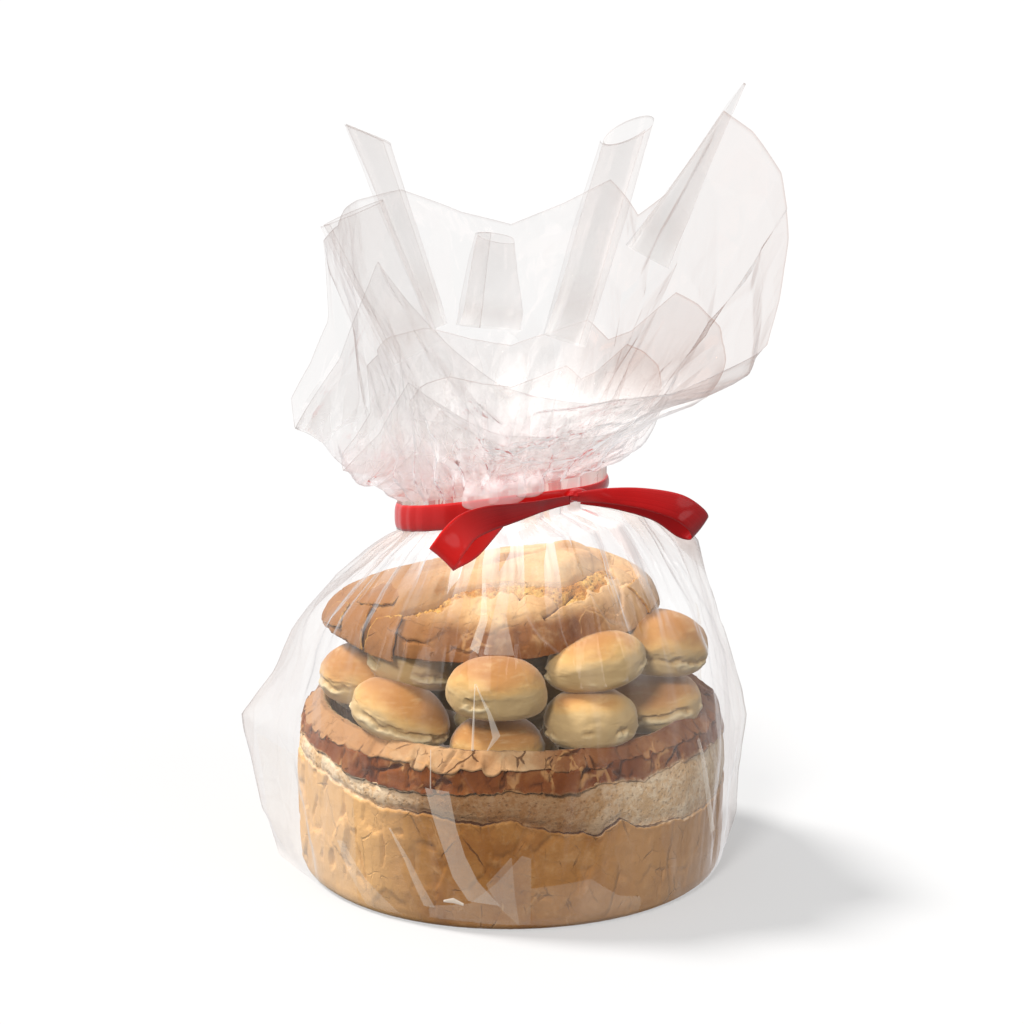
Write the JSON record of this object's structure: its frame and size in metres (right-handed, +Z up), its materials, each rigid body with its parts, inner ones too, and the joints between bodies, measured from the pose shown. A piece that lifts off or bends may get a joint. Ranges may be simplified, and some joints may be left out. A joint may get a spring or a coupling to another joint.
{
  "type": "surprise bread loaf",
  "caption": "Round hollowed loaf filled with mini buns under its cut lid, sealed in a clear film bag whose gathered neck is tied with a ribbon under a flared ruffle.",
  "frame": {"origin": "on the surface it stands on, under the axis of the round loaf", "axes": "+Z up along the loaf's axis, -Y towards the front with the knot and the centre bun, +X to the right seen from the front"},
  "size_m": [0.3237, 0.2687, 0.4734],
  "materials": {
    "film": "thin clear cellophane film, crinkled and glossy, over golden brown bread",
    "ribbon": "smooth glossy red gift ribbon",
    "crust": "dry baked crust, golden brown with paler floury bursts; on the loaf and its lid inside the film",
    "bun": "soft glazed bun, golden on top and cream at the sides; inside the film"
  },
  "bodies": {
    "root": {"bag": "film", "ribbon": "ribbon"}
  },
  "joints": []
}
